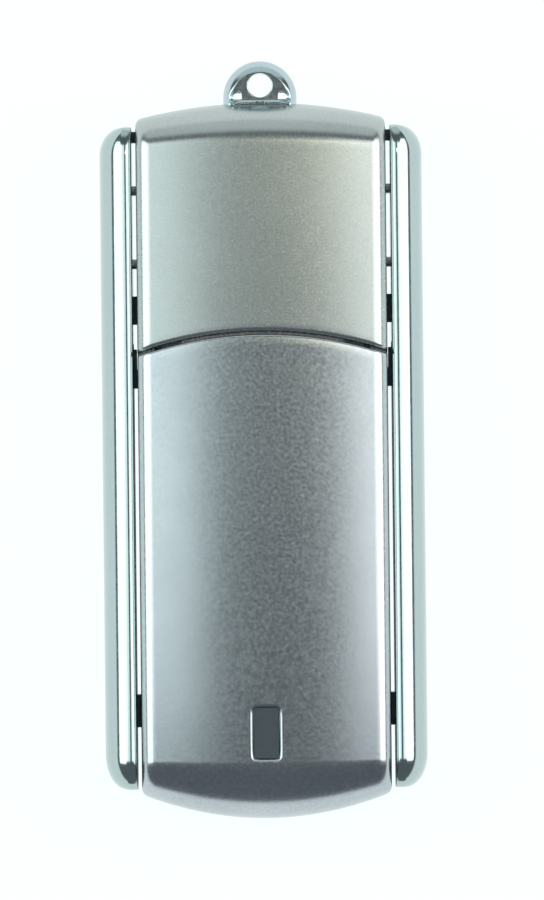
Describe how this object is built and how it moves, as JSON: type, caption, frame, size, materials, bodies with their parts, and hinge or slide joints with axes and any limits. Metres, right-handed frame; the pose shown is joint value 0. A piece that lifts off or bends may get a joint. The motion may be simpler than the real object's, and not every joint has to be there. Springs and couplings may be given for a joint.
{
  "type": "usb flash drive",
  "caption": "Slim metal USB flash drive whose memory body slides out of a cap with two polished side rails and a lanyard lug.",
  "frame": {"origin": "centre of the drive's footprint, at the height of the flat back it lies on", "axes": "+Z out of the front face, +Y along the length towards the lanyard lug, +X to the right seen from the front"},
  "size_m": [0.024, 0.0564, 0.009],
  "materials": {
    "body_satin": "fine satin metal, slightly cool silver",
    "cap_satin": "fine satin metal, slightly warm silver",
    "rail_polish": "polished metal with soft edges",
    "lug_polish": "polished metal",
    "shoe_plastic": "dark moulded plastic",
    "channel_plastic": "dark moulded plastic",
    "pin_steel": "turned steel",
    "spring_steel": "bright spring strip",
    "liner_plastic": "black moulded plastic",
    "window_smoke": "smoked grey moulded window",
    "frame_plastic": "black moulded plastic",
    "board_green": "green solder mask",
    "chip_epoxy": "black moulded chip package",
    "component_tin": "tinned metal can",
    "capacitor_ceramic": "fired ceramic block",
    "resistor_film": "black film resistor",
    "led_lens": "clear resin lens",
    "plug_steel": "nickel plated folded sheet",
    "tongue_plastic": "white moulded plastic",
    "contact_gold": "gold plated contact"
  },
  "bodies": {
    "cap_frame": {"cap_front_shell": "cap_satin", "cap_back_shell": "cap_satin", "cap_liner": "liner_plastic", "plug_grip_springs": "spring_steel", "lanyard_lug": "lug_polish", "right_rail": "rail_polish", "left_rail": "rail_polish", "right_channel": "channel_plastic", "left_channel": "channel_plastic", "rail_pins": "pin_steel", "rail_keys": "shoe_plastic"},
    "memory_body": {"front_cover": "body_satin", "back_cover": "body_satin", "led_window": "window_smoke", "inner_frame": "frame_plastic", "guide_shoes": "shoe_plastic", "circuit_board": "board_green", "controller_chip": "chip_epoxy", "flash_memory_chip": "chip_epoxy", "voltage_regulator": "chip_epoxy", "crystal": "component_tin", "indicator_led": "led_lens", "capacitors": "capacitor_ceramic", "resistors": "resistor_film", "usb_plug_shell": "plug_steel", "usb_plug_tongue": "tongue_plastic", "usb_contacts": "contact_gold"}
  },
  "joints": [
    {"name": "body_slide", "type": "slide", "parent": "cap_frame", "child": "memory_body", "axis": [0, -1, 0], "range_m": [0, 0.0462]}
  ]
}
